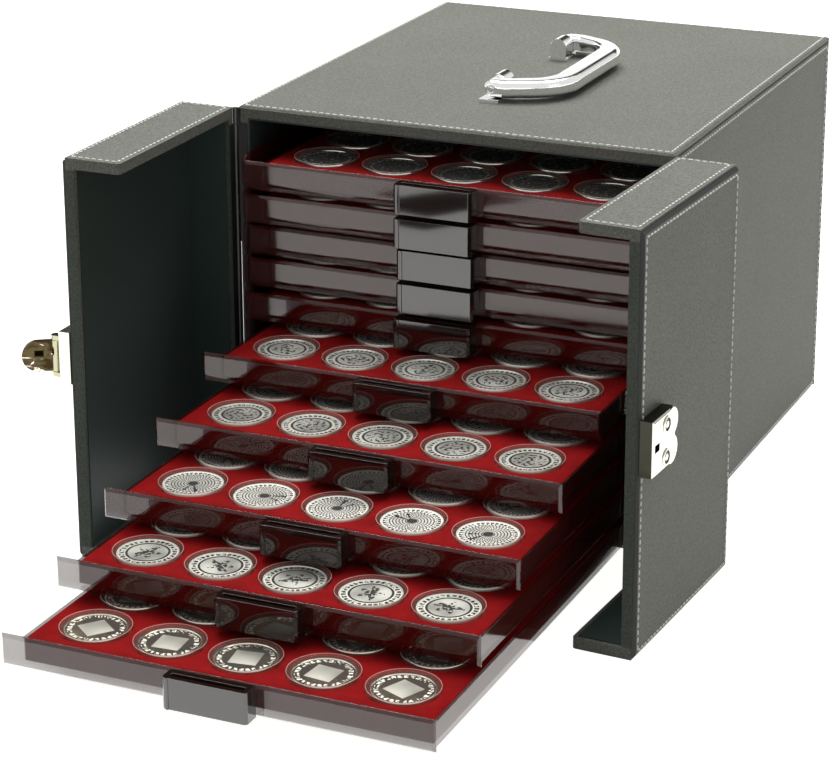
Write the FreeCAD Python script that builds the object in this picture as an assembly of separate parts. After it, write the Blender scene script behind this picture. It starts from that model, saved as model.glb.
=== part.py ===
import FreeCAD, Part
import math
import os

os.makedirs("parts", exist_ok=True)

Vector = FreeCAD.Vector

# Driving dimensions in millimetres and degrees.
# X runs to the right, Y to the back and Z up, from the centre of the case's underside.

# Case walls: a wrapped board inside and a stitched cover panel outside
case_width = 261.0
case_depth = 296.0
case_height = 231.5
board_thickness = 4.5
cover_thickness = 2.0
cover_bottom_lift = 1.5
cover_seam = 0.2
cover_bevel = 1.2
lining_thickness = 1.0

# Stack of coin boxes: each is a frame with a drawer, and the frames stand on a platform
box_count = 10
room_over_stack = 17.2
platform_thickness = 6.3
platform_setback = 3.0
stack_side_clearance = 1.5
stack_back_clearance = 0.5
stack_front_overhang = 14.0

# Frame of one coin box
frame_wall = 2.0
frame_floor = 1.6
frame_front_bevel = 2.6
frame_floor_setback = 0.3
runner_height = 1.5
runner_width = 4.0
runner_spread = 120.0
guide_rib_thickness = 1.5
guide_rib_height = 9.0
guide_channel_width = 9.6
slide_clearance = 1.2

# Drawer moulding: front plate, tray behind it and the grip in front of it
plate_side_clearance = 1.5
plate_thickness = 2.5
plate_lift = 0.9
plate_top_gap = 1.7
plate_bevel = 1.5
plate_overhang = 0.8
tray_back_clearance = 3.8
tray_wall = 1.5
tray_floor = 1.3
tray_lift = 0.2
rim_drop = 1.0
grip_width = 46.0
grip_depth = 10.0
grip_offset = 1.7
grip_bevel = 1.3
grip_ridge_width = 1.6
grip_ridge_height = 0.6
grip_ridge_inset = 2.2
label_slot_width = 3.0
label_slot_margin = 3.0
label_slot_floor = 2.0
plate_slot_width = 3.6
plate_slot_depth = 1.0
plate_slot_margin = 1.5

# Velvet inlay: flat in these drawers, and with wells for coin capsules in the others
flat_inlays = [2, 3, 4, 5]
well_columns = 5
well_rows = 7
well_diameter = 37.6
well_depth = 3.9
well_sides = 8
inlay_clearance = 0.3
inlay_drop = 0.2
column_margin = 5.2
row_front_margin = 4.2
row_back_margin = 0.6

# How far each drawer is pulled out, in percent of the tray's depth, from the top drawer down
drawer_pulls = [1.25, 1.41, 0.0, 0.27, 1.75, 19.76, 38.55, 57.64, 74.51, 92.86]

# Doors: each is half of the lid, a tray-shaped shell with a cover panel and a lining
door_gap_to_case = 1.2
door_gap_to_door = 1.2
door_reach = 36.6
door_board = 5.5
door_flange = 6.0
door_cover = 2.2
door_cover_inset = 1.5
door_lift = 0.5
door_edge_round = 1.5
door_cover_bevel = 1.3
door_end_round = 2.5
door_lining_thickness = 0.6
left_door_angle = 90.0
right_door_angle = 87.0

# Long hinges between the case and each door
hinge_outset = 1.3
barrel_radius = 1.7
hinge_pin_radius = 0.85
hinge_pin_clearance = 0.05
leaf_thickness = 0.5
leaf_width = 5.2
leaf_barrel_gap = 0.3
hinge_end_margin = 10.0
knuckle_count = 3
knuckle_gap = 0.3

# Carrying handle, folded flat to the right, centred over the case with its doors closed
handle_length = 131.0
handle_centre_y = -19.0
handle_pivot_x = -2.0
handle_pivot_height = 7.4
bail_thickness = 10.0
bail_arm_width = 12.0
bail_grip_width = 13.5
bail_reach = 42.0
bail_bend = 9.0
bail_slant_angle = 24.0
bail_corner = 33.0
bail_inner_corner = 18.0
bail_edge_bevel = 2.2
handle_pin_radius = 1.6
handle_pin_clearance = 0.05
foot_width = 10.0
foot_knuckle_length = 12.0
foot_top_margin = 1.2
foot_flange_thickness = 2.0
foot_flange_margin = 3.0
foot_flange_border = 1.0
foot_side_gap = 0.3

# Lock on the left door, its swinging hasp, and the keeper on the right door
lock_height = 30.0
lock_depth = 28.0
lock_thickness = 7.5
lock_lift = 1.25
lock_edge_bevel = 0.9
lock_lobe_radius = 7.5
lock_lobe_reach = 4.0
hasp_height = 18.0
hasp_length = 19.0
hasp_plate = 2.0
hasp_knuckle_radius = 2.6
hasp_pin_radius = 1.0
hasp_pin_clearance = 0.05
hasp_setback = 3.4
hasp_face_gap = 0.3
hasp_ear_gap = 0.3
hasp_ear_thickness = 2.6
hasp_ear_root = 1.0
hasp_angle = 58.0
catch_offset = 7.0
catch_length = 5.0
catch_height = 3.0
catch_reach = 3.0
catch_clearance = 0.6

# How far a cutting block or bore runs past the faces that it opens
cutter_reach = 1.0

# Places worked out from the driving dimensions
wall = board_thickness + cover_thickness
half_width = case_width / 2
front_y = -case_depth / 2
back_y = case_depth / 2
board_half_width = half_width - cover_thickness
inner_half_width = half_width - wall
board_back_y = back_y - cover_thickness
inner_back_y = back_y - wall
inner_top_z = case_height - wall
room_half_width = inner_half_width - lining_thickness
room_back_y = inner_back_y - lining_thickness
room_floor_z = wall + lining_thickness
room_top_z = inner_top_z - lining_thickness
stack_bottom_z = room_floor_z + platform_thickness
box_pitch = (room_top_z - room_over_stack - stack_bottom_z) / box_count
frame_half_width = room_half_width - stack_side_clearance
frame_front_y = front_y - stack_front_overhang
frame_back_y = room_back_y - stack_back_clearance
plate_half_width = frame_half_width - frame_wall - plate_side_clearance
plate_height = box_pitch - plate_lift - plate_top_gap
pushed_in_y = frame_front_y - plate_overhang
tray_depth = frame_back_y - frame_wall - tray_back_clearance - pushed_in_y
floor_front_y = pushed_in_y + plate_thickness + frame_floor_setback
tray_right_x = plate_half_width
tray_left_x = -(frame_half_width - frame_wall - guide_channel_width - guide_rib_thickness - slide_clearance)
hinge_x = half_width + hinge_outset
hinge_y = front_y - door_gap_to_case / 2
lock_centre_height = case_height / 2 + lock_lift
lock_bottom_z = lock_centre_height - lock_height / 2
lock_top_z = lock_centre_height + lock_height / 2
door_face_y = front_y - door_reach
lock_face_y = door_face_y - lock_thickness
door_edge_x = door_gap_to_door / 2
hasp_pivot_x = door_edge_x + hasp_setback
hasp_pivot_y = lock_face_y - hasp_knuckle_radius - hasp_face_gap
handle_pivot_z = case_height + handle_pivot_height


def block(x0, x1, y0, y1, z0, z1):
    """Box between two x, two y and two z values."""
    return Part.makeBox(x1 - x0, y1 - y0, z1 - z0, Vector(x0, y0, z0))


def mirrored(shape):
    """The same piece on the other side of the case."""
    return shape.mirror(Vector(0, 0, 0), Vector(1, 0, 0))


def straight_edges(shape, direction, test):
    """Edges parallel to a direction whose middle passes the test."""
    found = []
    for edge in shape.Edges:
        ends = edge.Vertexes
        run = ends[-1].Point.sub(ends[0].Point)
        if run.Length < 1e-6 or run.cross(direction).Length > 1e-6 * run.Length:
            continue
        if test(edge.CenterOfMass):
            found.append(edge)
    return found


def cover_panel(x0, x1, y0, y1, z0, z1, face_axis, face_value, bevel):
    """Padded cover panel: a thin box with the edges of its outer face bevelled."""
    panel = block(x0, x1, y0, y1, z0, z1)
    outer = []
    for edge in panel.Edges:
        middle = edge.CenterOfMass
        if abs((middle.x, middle.y, middle.z)[face_axis] - face_value) < 1e-6:
            outer.append(edge)
    return panel.makeChamfer(bevel, outer)


def turned(shape, x, y, degrees):
    """The piece turned about a vertical line through x, y."""
    result = shape.copy()
    result.rotate(Vector(x, y, 0), Vector(0, 0, 1), degrees)
    return result


# Case

def base_board():
    return block(-board_half_width, board_half_width, front_y, board_back_y, 0, wall)


def top_board():
    return block(-board_half_width, board_half_width, front_y, board_back_y, inner_top_z,
                 case_height - cover_thickness)


def side_board():
    """Right side board, between the base and the top and in front of the back board."""
    return block(inner_half_width, board_half_width, front_y, inner_back_y, wall, inner_top_z)


def back_board():
    return block(-board_half_width, board_half_width, inner_back_y, board_back_y, wall, inner_top_z)


def top_panel():
    return cover_panel(-half_width, half_width, front_y, back_y, case_height - cover_thickness,
                       case_height, 2, case_height, cover_bevel)


def side_panel():
    return cover_panel(board_half_width, half_width, front_y, board_back_y, cover_bottom_lift,
                       case_height - cover_thickness - cover_seam, 0, half_width, cover_bevel)


def back_panel():
    return cover_panel(-half_width, half_width, board_back_y, back_y, cover_bottom_lift,
                       case_height - cover_thickness - cover_seam, 1, back_y, cover_bevel)


def case_lining():
    """Satin lining: a thin box that is open at the front."""
    outside = block(-inner_half_width, inner_half_width, front_y, inner_back_y, wall, inner_top_z)
    room = block(-room_half_width, room_half_width, front_y - cutter_reach, room_back_y, room_floor_z,
                 room_top_z)
    return outside.cut(room)


def stack_platform():
    return block(-room_half_width, room_half_width, front_y + platform_setback, room_back_y,
                 room_floor_z, stack_bottom_z)


# Coin boxes

def unit_frame(bottom):
    """Frame of one coin box: side walls, back wall, floor, two runners and a guide rib."""
    top = bottom + box_pitch
    inner_x = frame_half_width - frame_wall
    floor = block(-frame_half_width, frame_half_width, floor_front_y, frame_back_y, bottom,
                  bottom + frame_floor)
    back = block(-inner_x, inner_x, frame_back_y - frame_wall, frame_back_y, bottom, top)
    right = block(inner_x, frame_half_width, frame_front_y, frame_back_y, bottom, top)
    right = right.makeChamfer(frame_front_bevel, straight_edges(
        right, Vector(1, 0, 0), lambda p: abs(p.y - frame_front_y) < 1e-6))
    left = mirrored(right)
    rib_right_x = tray_left_x - slide_clearance
    rib = block(rib_right_x - guide_rib_thickness, rib_right_x, floor_front_y, frame_back_y - frame_wall,
                bottom + frame_floor, bottom + frame_floor + guide_rib_height)
    tray_middle_x = (tray_left_x + tray_right_x) / 2
    pieces = [back, right, left, rib]
    for side in (-1, 1):
        middle_x = tray_middle_x + side * runner_spread / 2
        pieces.append(block(middle_x - runner_width / 2, middle_x + runner_width / 2, floor_front_y,
                            frame_back_y - frame_wall, bottom + frame_floor,
                            bottom + frame_floor + runner_height))
    return floor.fuse(pieces).removeSplitter()


def grip(plate_y, plate_bottom):
    """Grip with a label slot that is open at the top, moulded on the front plate."""
    left_x = grip_offset - grip_width / 2
    right_x = grip_offset + grip_width / 2
    face_y = plate_y - grip_depth
    top = plate_bottom + plate_height
    body = block(left_x, right_x, face_y, plate_y, plate_bottom, top)
    body = body.makeChamfer(grip_bevel, straight_edges(
        body, Vector(0, 0, 1), lambda p: abs(p.y - face_y) < 1e-6))
    slot = block(left_x + label_slot_margin, right_x - label_slot_margin, face_y + label_slot_margin,
                 face_y + label_slot_margin + label_slot_width, plate_bottom + label_slot_floor,
                 top + cutter_reach)
    ridge_x = left_x + grip_ridge_inset
    ridge = block(ridge_x, ridge_x + grip_ridge_width, face_y - grip_ridge_height,
                  face_y + grip_ridge_width, plate_bottom, top)
    return body.fuse(ridge).cut(slot)


def tray(plate_y, bottom):
    """Drawer moulding: bevelled front plate, shallow tray behind it and the grip."""
    plate_bottom = bottom + plate_lift
    plate_top = plate_bottom + plate_height
    plate = block(-plate_half_width, plate_half_width, plate_y, plate_y + plate_thickness, plate_bottom,
                  plate_top)
    plate = plate.makeChamfer(plate_bevel, [
        edge for edge in plate.Edges if abs(edge.CenterOfMass.y - plate_y) < 1e-6])
    slot_x = grip_offset + grip_width / 2
    plate = plate.cut(block(slot_x, slot_x + plate_slot_width, plate_y - cutter_reach,
                            plate_y + plate_slot_depth, plate_bottom + plate_slot_margin,
                            plate_top - plate_slot_margin))
    tray_bottom = bottom + frame_floor + runner_height + tray_lift
    rim = plate_top - rim_drop
    outside = block(tray_left_x, tray_right_x, plate_y + plate_thickness, plate_y + tray_depth,
                    tray_bottom, rim)
    inside = block(tray_left_x + tray_wall, tray_right_x - tray_wall,
                   plate_y + plate_thickness - cutter_reach, plate_y + tray_depth - tray_wall,
                   tray_bottom + tray_floor, rim + cutter_reach)
    return outside.cut(inside).fuse([plate, grip(plate_y, plate_bottom)]).removeSplitter()


def well_outline(x, y, z):
    """Flat-sided outline of one well, with its flats touching the round capsule."""
    corner_radius = well_diameter / 2 / math.cos(math.pi / well_sides)
    points = []
    for number in range(well_sides + 1):
        angle = 2 * math.pi * (number + 0.5) / well_sides
        points.append(Vector(x + corner_radius * math.cos(angle), y + corner_radius * math.sin(angle), z))
    return Part.Face(Part.makePolygon(points))


def inlay_block(plate_y, bottom):
    """Flat velvet block that fills the tray up to a little below its rim."""
    x0 = tray_left_x + tray_wall + inlay_clearance
    x1 = tray_right_x - tray_wall - inlay_clearance
    y0 = plate_y + plate_thickness + inlay_clearance
    y1 = plate_y + tray_depth - tray_wall - inlay_clearance
    z0 = bottom + frame_floor + runner_height + tray_lift + tray_floor
    z1 = bottom + plate_lift + plate_height - rim_drop - inlay_drop
    return block(x0, x1, y0, y1, z0, z1)


def with_wells(flat_inlay):
    """The velvet block with rows and columns of wells sunk into its top."""
    box = flat_inlay.BoundBox
    column_pitch = (box.XLength - 2 * column_margin) / well_columns
    row_pitch = (box.YLength - row_front_margin - row_back_margin) / well_rows
    wells = []
    for row in range(well_rows):
        for column in range(well_columns):
            well_x = box.XMin + column_margin + (column + 0.5) * column_pitch
            well_y = box.YMin + row_front_margin + (row + 0.5) * row_pitch
            outline = well_outline(well_x, well_y, box.ZMax - well_depth)
            wells.append(outline.extrude(Vector(0, 0, well_depth + cutter_reach)))
    return flat_inlay.cut(wells)


# Doors, modelled closed on the right side of the case

def door_shell():
    """Half of the lid: front board, wall at the hinge, and a flange above and below."""
    outer_y = front_y - door_gap_to_case
    inner_face_y = door_face_y + door_cover + door_board
    bottom = door_lift
    top = case_height - door_lift
    shell = block(door_edge_x, half_width, door_face_y + door_cover, outer_y, bottom, top)
    recess = block(door_edge_x - cutter_reach, half_width - door_board, inner_face_y,
                   outer_y + cutter_reach, bottom + door_flange, top - door_flange)
    hinge_corner = straight_edges(shell, Vector(0, 0, 1),
                                  lambda p: abs(p.x - half_width) < 1e-6 and abs(p.y - outer_y) < 1e-6)
    shell = shell.makeFillet(door_edge_round, hinge_corner)
    shell = shell.cut(recess)
    flange_ends = straight_edges(shell, Vector(0, 0, 1),
                                 lambda p: abs(p.x - door_edge_x) < 1e-6 and abs(p.y - outer_y) < 1e-6)
    return shell.makeFillet(door_end_round, flange_ends)


def door_panel():
    return cover_panel(door_edge_x, half_width, door_face_y, door_face_y + door_cover,
                       door_lift + door_cover_inset, case_height - door_lift - door_cover_inset,
                       1, door_face_y, door_cover_bevel)


def door_lining():
    """Satin lining glued inside the door, set back from the rounded flange ends."""
    outer_y = front_y - door_gap_to_case
    inner_face_y = door_face_y + door_cover + door_board
    bottom = door_lift + door_flange
    top = case_height - door_lift - door_flange
    wall_x = half_width - door_board
    open_x = door_edge_x + door_end_round
    outside = block(open_x, wall_x, inner_face_y, outer_y - door_end_round, bottom, top)
    room = block(open_x - cutter_reach, wall_x - door_lining_thickness,
                 inner_face_y + door_lining_thickness, outer_y + cutter_reach,
                 bottom + door_lining_thickness, top - door_lining_thickness)
    return outside.cut(room)


# Hinges on the right side of the case

def knuckles(first):
    """Every second knuckle of the barrel, from the first one up: (bottom, top) of each."""
    length = case_height - 2 * hinge_end_margin
    pitch = length / knuckle_count
    spans = []
    for number in range(first, knuckle_count, 2):
        bottom = hinge_end_margin + number * pitch
        spans.append((bottom + knuckle_gap / 2, bottom + pitch - knuckle_gap / 2))
    return spans


def hinge_leaf(first, face_y, into_gap):
    """Leaf on a face at face_y that grows into the gap, with its knuckles about the hinge line."""
    root_x = hinge_x - barrel_radius - leaf_barrel_gap
    y0 = min(face_y, face_y + into_gap * leaf_thickness)
    y1 = max(face_y, face_y + into_gap * leaf_thickness)
    plate = block(root_x - leaf_width, root_x, y0, y1, hinge_end_margin, case_height - hinge_end_margin)
    tab_x = hinge_x - (barrel_radius + hinge_pin_radius) / 2
    pieces = []
    for bottom, top in knuckles(first):
        pieces.append(Part.makeCylinder(barrel_radius, top - bottom, Vector(hinge_x, hinge_y, bottom)))
        pieces.append(block(root_x - leaf_barrel_gap, tab_x, y0, y1, bottom, top))
    return plate.fuse(pieces)


def hinge_case_leaf():
    """Leaf on the case, with the pin fixed in its end knuckles."""
    leaf = hinge_leaf(0, front_y, -1)
    spans = knuckles(0)
    bottom = spans[0][0]
    top = spans[-1][1]
    pin = Part.makeCylinder(hinge_pin_radius, top - bottom, Vector(hinge_x, hinge_y, bottom))
    return leaf.fuse(pin).removeSplitter()


def hinge_door_leaf():
    """Leaf on the door, whose bored knuckle turns on the pin."""
    leaf = hinge_leaf(1, front_y - door_gap_to_case, 1)
    bore = Part.makeCylinder(hinge_pin_radius + hinge_pin_clearance, case_height,
                             Vector(hinge_x, hinge_y, 0))
    return leaf.cut(bore).removeSplitter()


# Carrying handle

def bail_prism(start_x, arm_inset, grip_inset, corner, bottom, top):
    """Prism with the bail's outline: arms straight at the pivots, then slanting in to the grip."""
    bend_x = handle_pivot_x + bail_bend
    x1 = handle_pivot_x + bail_reach - grip_inset
    half = handle_length / 2 - arm_inset
    slant = math.radians(bail_slant_angle)
    bend_half = half + arm_inset * (1 - 1 / math.cos(slant))
    grip_half = bend_half - (x1 - bend_x) * math.tan(slant)
    points = []
    for x, reach in ((start_x, half), (bend_x, half), (x1, grip_half)):
        points.append(Vector(x, handle_centre_y - reach, bottom))
        points.insert(0, Vector(x, handle_centre_y + reach, bottom))
    points.append(points[0])
    prism = Part.Face(Part.makePolygon(points)).extrude(Vector(0, 0, top - bottom))
    return prism.makeFillet(corner, straight_edges(prism, Vector(0, 0, 1), lambda p: abs(p.x - x1) < 1e-6))


def handle_bail():
    """Bail with two arms and a grip, half round at the pivots, folded flat to the right."""
    y0 = handle_centre_y - handle_length / 2
    y1 = handle_centre_y + handle_length / 2
    bottom = handle_pivot_z - bail_thickness / 2
    top = bottom + bail_thickness
    plate = bail_prism(handle_pivot_x, 0.0, 0.0, bail_corner, bottom, top)
    opening = bail_prism(handle_pivot_x - bail_thickness, bail_arm_width, bail_grip_width, bail_inner_corner,
                         bottom - cutter_reach, top + cutter_reach)
    rim = [edge for edge in plate.Edges
           if edge.BoundBox.ZLength < 1e-4 and edge.CenterOfMass.x > handle_pivot_x + 1e-3]
    bail = plate.makeChamfer(bail_edge_bevel, rim).cut(opening)
    ends = []
    for start, outer_y in ((y0, y0), (y1 - bail_arm_width, y1)):
        eye = Part.makeCylinder(bail_thickness / 2, bail_arm_width,
                                Vector(handle_pivot_x, start, handle_pivot_z), Vector(0, 1, 0))
        ends.append(eye.makeChamfer(bail_edge_bevel, [
            edge for edge in eye.Edges
            if edge.BoundBox.YLength < 1e-6 and abs(edge.BoundBox.YMin - outer_y) < 1e-4]))
    bore = Part.makeCylinder(handle_pin_radius + handle_pin_clearance, handle_length + 2 * cutter_reach,
                             Vector(handle_pivot_x, y0 - cutter_reach, handle_pivot_z), Vector(0, 1, 0))
    return bail.fuse(ends).cut(bore).removeSplitter()


def handle_foot(side):
    """Foot: a flange reaching out under the bail's eye, an arched knuckle beside it, and its fixed pin."""
    eye_inner_y = handle_centre_y + side * (handle_length / 2 - bail_arm_width)
    near_y = eye_inner_y - side * foot_side_gap
    far_y = near_y - side * foot_knuckle_length
    flange_y = eye_inner_y + side * (bail_arm_width + foot_flange_margin)
    flange_end_y = far_y
    half = foot_width / 2
    flange_half = half + foot_flange_border
    crown_z = handle_pivot_z + bail_thickness / 2 + foot_top_margin - half
    y0 = min(near_y, far_y)
    y1 = max(near_y, far_y)
    column = block(handle_pivot_x - half, handle_pivot_x + half, y0, y1, case_height, crown_z)
    crown = Part.makeCylinder(half, y1 - y0, Vector(handle_pivot_x, y0, crown_z), Vector(0, 1, 0))
    flange = block(handle_pivot_x - flange_half, handle_pivot_x + flange_half, min(flange_y, flange_end_y),
                   max(flange_y, flange_end_y), case_height, case_height + foot_flange_thickness)
    pin_end_y = handle_centre_y + side * handle_length / 2
    pin = Part.makeCylinder(handle_pin_radius, abs(pin_end_y - near_y),
                            Vector(handle_pivot_x, min(pin_end_y, near_y), handle_pivot_z),
                            Vector(0, 1, 0))
    return column.fuse([crown, flange, pin]).removeSplitter()


# Lock, hasp and keeper, modelled with the doors closed

def lock_block():
    """Block on the right door's edge, with two round lobes behind it for its rivets."""
    rear_x = door_edge_x + lock_depth
    body = block(door_edge_x, rear_x, lock_face_y, door_face_y, lock_bottom_z, lock_top_z)
    lobes = []
    for side in (-1, 1):
        z = lock_centre_height + side * (lock_height / 2 - lock_lobe_radius)
        lobes.append(Part.makeCylinder(lock_lobe_radius, lock_thickness,
                                       Vector(rear_x + lock_lobe_reach - lock_lobe_radius, lock_face_y, z),
                                       Vector(0, 1, 0)))
    front_edges = [edge for edge in body.Edges
                   if abs(edge.CenterOfMass.y - lock_face_y) < 1e-6
                   and edge.CenterOfMass.x < rear_x - 1e-6]
    body = body.makeChamfer(lock_edge_bevel, front_edges)
    return body.fuse(lobes).removeSplitter()


def keeper():
    """Block with the slot that the hasp's catch drops into."""
    slot_x = catch_offset - hasp_setback - door_gap_to_door / 2
    slot = block(slot_x - catch_clearance, slot_x + catch_length + catch_clearance,
                 lock_face_y - cutter_reach,
                 lock_face_y + catch_reach + catch_clearance,
                 lock_centre_height - catch_height / 2 - catch_clearance,
                 lock_centre_height + catch_height / 2 + catch_clearance)
    return lock_block().cut(slot)


def hasp_ears():
    """Ears above and below the hasp that hold its pin."""
    ears = []
    for side in (-1, 1):
        near_z = lock_centre_height + side * (hasp_height / 2 + hasp_ear_gap)
        far_z = near_z + side * hasp_ear_thickness
        z0 = min(near_z, far_z)
        z1 = max(near_z, far_z)
        ear = block(hasp_pivot_x - hasp_knuckle_radius, hasp_pivot_x + hasp_knuckle_radius,
                    hasp_pivot_y, lock_face_y + hasp_ear_root, z0, z1)
        round_end = Part.makeCylinder(hasp_knuckle_radius, hasp_ear_thickness,
                                      Vector(hasp_pivot_x, hasp_pivot_y, z0))
        ears.append(ear.fuse(round_end))
    return ears


def hasp_pin():
    """Pin of the hasp, which ends flush with the ears that it is fixed in."""
    length = hasp_height + 2 * (hasp_ear_gap + hasp_ear_thickness)
    return Part.makeCylinder(hasp_pin_radius, length,
                             Vector(hasp_pivot_x, hasp_pivot_y, lock_centre_height - length / 2))


def lock_case():
    """Block with the ears and pin for the hasp, as it would sit on the right door before mirroring."""
    return lock_block().fuse(hasp_ears() + [hasp_pin()]).removeSplitter()


def hasp():
    """Swinging hasp: knuckle, tongue with a rounded tip, and the catch under it."""
    bottom = lock_centre_height - hasp_height / 2
    knuckle = Part.makeCylinder(hasp_knuckle_radius, hasp_height, Vector(hasp_pivot_x, hasp_pivot_y, bottom))
    tip_radius = hasp_height / 2
    root_x = hasp_pivot_x - hasp_length + tip_radius
    y0 = hasp_pivot_y - hasp_plate / 2
    tongue = block(root_x, hasp_pivot_x, y0, y0 + hasp_plate, bottom, bottom + hasp_height)
    tip = Part.makeCylinder(tip_radius, hasp_plate, Vector(root_x, y0, lock_centre_height), Vector(0, 1, 0))
    catch_x = hasp_pivot_x - catch_offset
    catch = block(catch_x - catch_length, catch_x, hasp_pivot_y, lock_face_y + catch_reach,
                  lock_centre_height - catch_height / 2, lock_centre_height + catch_height / 2)
    bore = Part.makeCylinder(hasp_pin_radius + hasp_pin_clearance, hasp_height + 2 * cutter_reach,
                             Vector(hasp_pivot_x, hasp_pivot_y, bottom - cutter_reach))
    return knuckle.fuse([tongue, tip, catch]).cut(bore).removeSplitter()


# All pieces in their places, as the case stands with its doors open and its drawers pulled out

def on_right_door(shape):
    return turned(shape, hinge_x, hinge_y, right_door_angle)


def on_left_door(shape):
    return turned(mirrored(shape), -hinge_x, hinge_y, -left_door_angle)


def swung_hasp(shape):
    """The hasp turned out from its engaged position, still on the closed right door."""
    return turned(shape, hasp_pivot_x, hasp_pivot_y, hasp_angle)


def save(name, shape):
    shape.exportStep("parts/" + name + ".step")


def pair(shape):
    return Part.makeCompound([shape, mirrored(shape)])


def save_case():
    save("base_board", base_board())
    save("top_board", top_board())
    save("top_panel", top_panel())
    save("right_side_board", side_board())
    save("left_side_board", mirrored(side_board()))
    save("back_board", back_board())
    save("right_side_panel", side_panel())
    save("left_side_panel", mirrored(side_panel()))
    save("back_panel", back_panel())
    save("case_lining", case_lining())
    save("stack_platform", stack_platform())


def save_coin_boxes():
    for number, pull in enumerate(drawer_pulls, start=1):
        bottom = stack_bottom_z + (box_count - number) * box_pitch
        plate_y = pushed_in_y - tray_depth * pull / 100
        inlay = inlay_block(plate_y, bottom)
        if number not in flat_inlays:
            inlay = with_wells(inlay)
        save("unit_frame_%02d" % number, unit_frame(bottom))
        save("tray_%02d" % number, tray(plate_y, bottom))
        save("inlay_%02d" % number, inlay)


def save_doors():
    save("right_door_shell", on_right_door(door_shell()))
    save("left_door_shell", on_left_door(door_shell()))
    save("right_door_panel", on_right_door(door_panel()))
    save("left_door_panel", on_left_door(door_panel()))
    save("right_door_lining", on_right_door(door_lining()))
    save("left_door_lining", on_left_door(door_lining()))


def save_hinges():
    save("hinge_case_leaves", pair(hinge_case_leaf()))
    save("right_hinge_door_leaf", on_right_door(hinge_door_leaf()))
    save("left_hinge_door_leaf", on_left_door(hinge_door_leaf()))


def save_handle():
    save("handle_bail", handle_bail())
    save("handle_feet", Part.makeCompound([handle_foot(-1), handle_foot(1)]))


def save_lock():
    save("keeper", on_right_door(keeper()))
    save("lock_case", on_left_door(lock_case()))
    save("hasp", on_left_door(swung_hasp(hasp())))


save_case()
save_coin_boxes()
save_doors()
save_hinges()
save_handle()
save_lock()
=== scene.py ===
import math

import bmesh
import bpy
from mathutils import Matrix, Vector


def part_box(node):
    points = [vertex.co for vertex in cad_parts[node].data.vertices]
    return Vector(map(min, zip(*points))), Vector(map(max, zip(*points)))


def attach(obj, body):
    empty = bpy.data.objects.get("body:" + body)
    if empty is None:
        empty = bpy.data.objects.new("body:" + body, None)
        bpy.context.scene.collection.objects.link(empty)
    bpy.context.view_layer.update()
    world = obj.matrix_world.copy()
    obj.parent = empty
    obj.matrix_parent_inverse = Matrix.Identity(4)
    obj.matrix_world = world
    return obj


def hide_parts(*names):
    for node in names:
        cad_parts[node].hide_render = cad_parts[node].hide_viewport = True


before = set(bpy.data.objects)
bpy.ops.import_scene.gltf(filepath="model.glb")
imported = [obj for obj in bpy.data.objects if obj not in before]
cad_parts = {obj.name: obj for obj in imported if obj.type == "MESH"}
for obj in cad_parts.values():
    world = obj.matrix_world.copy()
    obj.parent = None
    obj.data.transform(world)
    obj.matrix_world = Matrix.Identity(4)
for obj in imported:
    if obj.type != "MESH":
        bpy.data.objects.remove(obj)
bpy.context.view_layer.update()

# Camera and studio.
# The case was photographed with a long lens from the front, a little from its right and from above.
picture_width = 829
picture_height = 759
focal_length_in_pixels = 2789.57
optical_centre = (412.06, 280.0)
camera_data = bpy.data.cameras.new("camera")
camera_data.sensor_width = 36.0
camera_data.lens = camera_data.sensor_width * focal_length_in_pixels / picture_width
camera_data.shift_x = (picture_width / 2 - optical_centre[0]) / picture_width
camera_data.shift_y = (optical_centre[1] - picture_height / 2) / picture_width
camera_data.clip_end = 30.0
camera_place = (0.58621, -1.50781, 0.63131)
camera_heading = 24.12
camera_dip = 18.2
camera_roll = -0.24
camera = bpy.data.objects.new("camera", camera_data)
camera.matrix_world = (Matrix.Translation(camera_place)
                       @ Matrix.Rotation(math.radians(camera_heading), 4, "Z")
                       @ Matrix.Rotation(math.radians(90 - camera_dip), 4, "X")
                       @ Matrix.Rotation(math.radians(camera_roll), 4, "Z"))
bpy.context.scene.collection.objects.link(camera)
bpy.context.scene.camera = camera
bpy.context.scene.view_settings.view_transform = "Standard"


def colour(code):
    """Turns an sRGB hex value into the linear colour that a shader takes."""
    channels = []
    for start in (1, 3, 5):
        value = int(code[start:start + 2], 16) / 255
        channels.append(value / 12.92 if value <= 0.04045 else ((value + 0.055) / 1.055) ** 2.4)
    return (*channels, 1.0)


def add_node(material, kind, settings, inputs, stops=()):
    """Adds one node, with its own settings and its inputs. An input is a value, a socket to link, or a
    node whose first output is linked. A colour ramp also takes its stops, each a position and a
    linear colour."""
    new = material.node_tree.nodes.new(kind)
    for name, value in settings.items():
        setattr(new, name, value)
    if stops:
        for element, (position, tone) in zip(new.color_ramp.elements, (stops[0], stops[-1])):
            element.position = position
            element.color = tone
    for position, tone in stops[1:-1]:
        new.color_ramp.elements.new(position).color = tone
    for name, value in inputs.items():
        if isinstance(value, bpy.types.Node):
            value = value.outputs[0]
        if isinstance(value, bpy.types.NodeSocket):
            material.node_tree.links.new(value, new.inputs[name])
        else:
            new.inputs[name].default_value = value
    return new


def new_material(name, **values):
    """A material with one Principled shader, whose sockets are set from the given values, with an
    underscore for each space in a socket's name."""
    material = bpy.data.materials.new(name)
    material.use_nodes = True
    shader = material.node_tree.nodes["Principled BSDF"]
    for key, value in values.items():
        shader.inputs[key.replace("_", " ")].default_value = value
    return material, shader


def link(material, source, target):
    material.node_tree.links.new(source, target)


def select_only(*pieces):
    """Leaves nothing selected but the given pieces, and makes the first one active."""
    bpy.ops.object.select_all(action="DESELECT")
    for piece in pieces:
        piece.select_set(True)
    bpy.context.view_layer.objects.active = pieces[0]


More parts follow.
